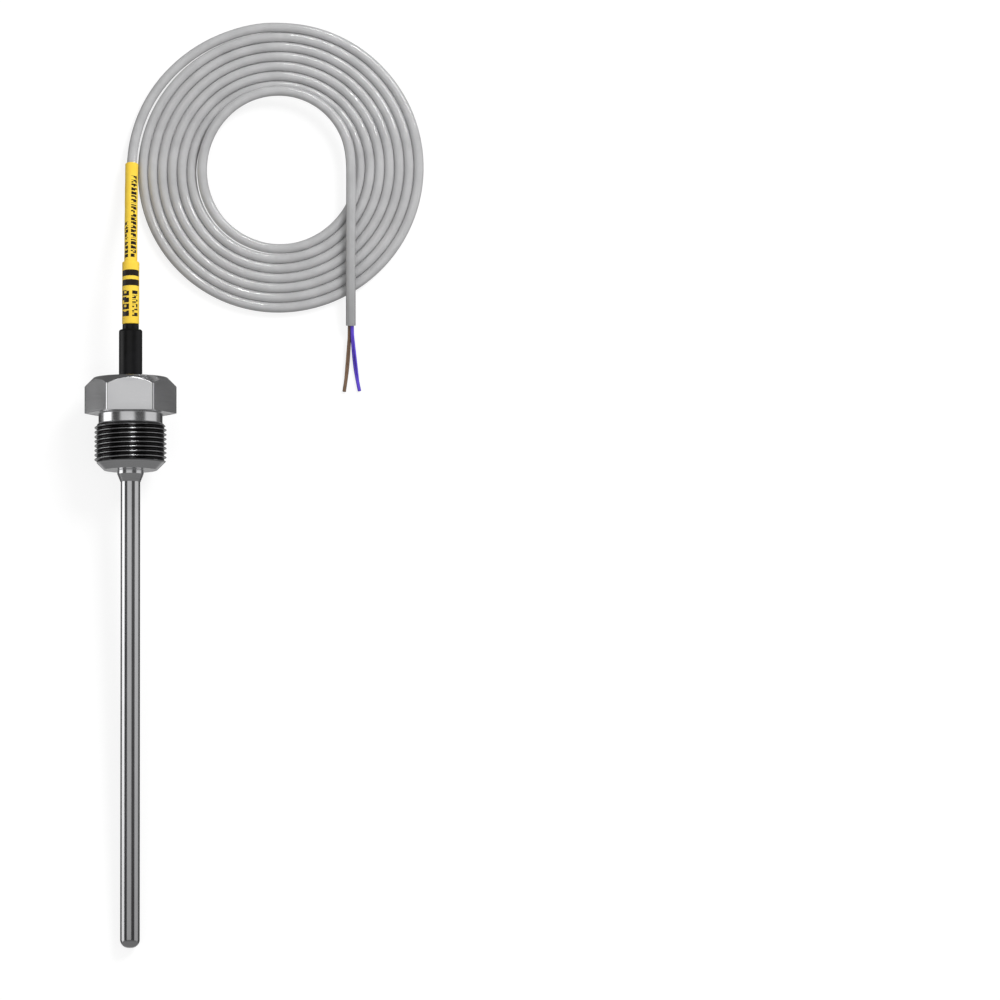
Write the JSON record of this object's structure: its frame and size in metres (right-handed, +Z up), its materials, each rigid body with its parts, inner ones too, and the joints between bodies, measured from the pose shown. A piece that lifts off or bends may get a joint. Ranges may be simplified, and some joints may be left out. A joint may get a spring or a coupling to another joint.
{
  "type": "temperature sensor",
  "caption": "Screw-in temperature probe: slim closed metal tube through a hexagon fitting with a threaded stud, and a coiled cable with bared core ends.",
  "frame": {"origin": "on the surface that the sensor lies on, under the middle of the rigid sensor without its cable", "axes": "+Z up from the surface, +Y along the sensor from tip to cable, +X to the right towards the coiled cable; the sensor's axis slopes down to the tip by 3.29 degrees"},
  "size_m": [0.1044, 0.2889, 0.0252],
  "materials": {
    "fitting_steel": "turned stainless steel, bright",
    "tube_steel": "drawn stainless tube, bright",
    "boot_rubber": "satin black moulded",
    "chip_ceramic": "matt alumina",
    "glaze_glass": "glossy drop",
    "filler_compound": "white thermal compound",
    "seal_resin": "cast resin",
    "lead_wire": "plated fine wire",
    "lead_sleeve": "clear insulating tube",
    "splice_metal": "tinned ferrule",
    "splice_sleeve": "black shrink tube",
    "copper": "bare copper strands",
    "core_brown": "brown insulation",
    "core_blue": "blue insulation",
    "cable_jacket": "grey satin jacket",
    "sleeve_yellow": "yellow shrink sleeve"
  },
  "bodies": {
    "root": {"threaded_fitting": "fitting_steel", "probe_tube": "tube_steel", "strain_relief_boot": "boot_rubber", "sensing_chip": "chip_ceramic", "chip_glaze": "glaze_glass", "tip_filler": "filler_compound", "cable_seal": "seal_resin", "inner_jacket": "cable_jacket", "cable_run": "cable_jacket", "cable_coil": "cable_jacket", "cable_tail": "cable_jacket", "marker_sleeve_upper": "sleeve_yellow", "marker_sleeve_lower": "sleeve_yellow", "chip_lead_brown": "lead_wire", "lead_sleeve_brown": "lead_sleeve", "splice_brown": "splice_metal", "splice_sleeve_brown": "splice_sleeve", "conductor_brown": "copper", "core_brown": "core_brown", "core_brown_end": "core_brown", "conductor_brown_end": "copper", "chip_lead_blue": "lead_wire", "lead_sleeve_blue": "lead_sleeve", "splice_blue": "splice_metal", "splice_sleeve_blue": "splice_sleeve", "conductor_blue": "copper", "core_blue": "core_blue", "core_blue_end": "core_blue", "conductor_blue_end": "copper"}
  },
  "joints": []
}
